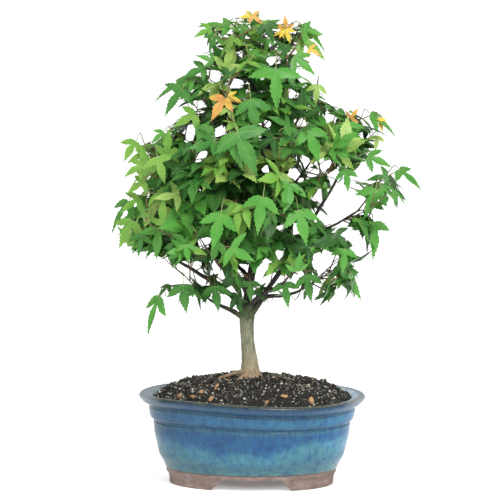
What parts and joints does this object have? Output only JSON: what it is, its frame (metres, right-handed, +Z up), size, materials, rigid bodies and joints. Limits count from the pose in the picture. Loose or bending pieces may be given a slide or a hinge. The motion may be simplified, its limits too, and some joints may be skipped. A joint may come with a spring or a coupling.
{
  "type": "potted bonsai trident maple",
  "caption": "Small trained trident maple with a full, upright leafy crown, growing from a mound of dark soil in an oval blue-glazed pot on low unglazed feet.",
  "frame": {"origin": "on the surface the pot stands on, under the middle of the whole plant's bounding box; the pot's centre line stands 11 mm to its -X side", "axes": "+Z up, along the trunk; -Y towards the front of the pot, the side the picture shows; +X to a front viewer's right, along the pot's length"},
  "size_m": [0.28, 0.2105, 0.43],
  "materials": {
    "blue_glaze": "glossy blue glaze, paler where it runs off edges",
    "bare_clay": "matt unglazed taupe clay",
    "soil": "matt, granular, with pale and tan bits",
    "bark": "matt grey-green bark",
    "twig_bark": "matt brown bark",
    "leaf_green": "satin leaf",
    "leaf_fresh_green": "satin leaf"
  },
  "bodies": {
    "root": {"pot_body": "blue_glaze", "pot_base": "bare_clay", "foot_left": "bare_clay", "foot_right": "bare_clay", "soil": "soil", "trunk": "bark", "leader": "twig_bark", "bough_top_left": "twig_bark", "bough_upper_left": "twig_bark", "bough_upper_right": "twig_bark", "bough_upper_front": "twig_bark", "bough_upper_back": "twig_bark", "bough_mid_left": "twig_bark", "bough_mid_right": "twig_bark", "bough_mid_front": "twig_bark", "bough_mid_front_left": "twig_bark", "bough_mid_back": "twig_bark", "bough_back_right": "twig_bark", "bough_right": "twig_bark", "bough_low_left": "twig_bark", "bough_front_left": "twig_bark", "bough_front_right": "twig_bark", "bough_low_back": "twig_bark", "bough_low_back_right": "twig_bark", "bough_skirt_right": "twig_bark", "bough_skirt_left": "twig_bark", "leaves_top_right": "leaf_green", "leaves_top_left": "leaf_fresh_green", "leaves_upper_left": "leaf_green", "leaves_upper_right": "leaf_fresh_green", "leaves_upper_front": "leaf_green", "leaves_upper_back": "leaf_fresh_green", "leaves_mid_left": "leaf_green", "leaves_mid_right": "leaf_fresh_green", "leaves_mid_front": "leaf_green", "leaves_mid_front_left": "leaf_fresh_green", "leaves_mid_back": "leaf_green", "leaves_back_right": "leaf_fresh_green", "leaves_right": "leaf_green", "leaves_low_left": "leaf_fresh_green", "leaves_front_left": "leaf_green", "leaves_front_right": "leaf_fresh_green", "leaves_low_back": "leaf_green", "leaves_low_back_right": "leaf_fresh_green", "leaves_skirt_right": "leaf_green", "leaves_skirt_left": "leaf_fresh_green"}
  },
  "joints": []
}
